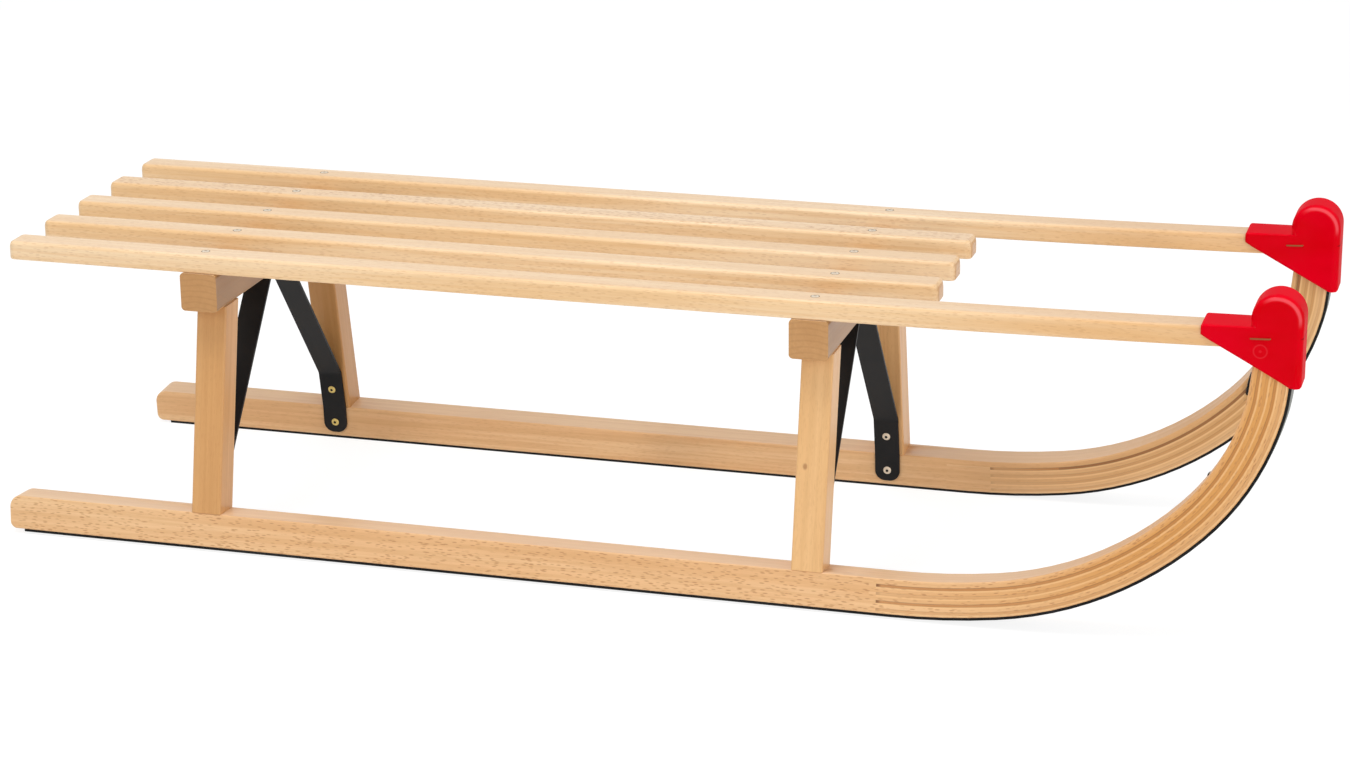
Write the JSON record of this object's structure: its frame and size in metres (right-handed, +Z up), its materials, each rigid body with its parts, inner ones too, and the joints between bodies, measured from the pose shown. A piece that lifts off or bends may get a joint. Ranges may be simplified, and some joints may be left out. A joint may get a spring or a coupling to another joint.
{
  "type": "davos sled",
  "caption": "Classic wooden snow sled with bent runners on steel shoes, splayed legs, crossbars with strap braces, a slatted seat and red plastic horn caps.",
  "frame": {"origin": "centre of the overall box in plan, on the ground that the steel shoes stand on", "axes": "+X forward towards the horn caps, +Y to the sled's left, +Z up"},
  "size_m": [1.0968, 0.3328, 0.2902],
  "materials": {
    "beech": "clear lacquered beech with a fine grain",
    "bend_veneer": "beech veneer glued into the saw cuts of the bend",
    "shoe_steel": "black flat steel",
    "brace_steel": "satin black powder coat",
    "cap_plastic": "moulded red plastic, semi gloss",
    "eye_steel": "black steel wire"
  },
  "bodies": {
    "root": {"runner_left": "beech", "runner_right": "beech", "leg_rear_left": "beech", "leg_rear_right": "beech", "leg_front_left": "beech", "leg_front_right": "beech", "crossbar_rear": "beech", "crossbar_front": "beech", "slat_outer_right": "beech", "slat_inner_right": "beech", "slat_middle": "beech", "slat_inner_left": "beech", "slat_outer_left": "beech", "bend_veneers_left": "bend_veneer", "bend_veneers_right": "bend_veneer", "shoe_left": "shoe_steel", "shoe_right": "shoe_steel", "brace_rear": "brace_steel", "brace_front": "brace_steel", "cap_left": "cap_plastic", "cap_right": "cap_plastic", "rope_eye_left": "eye_steel", "rope_eye_right": "eye_steel"}
  },
  "joints": []
}
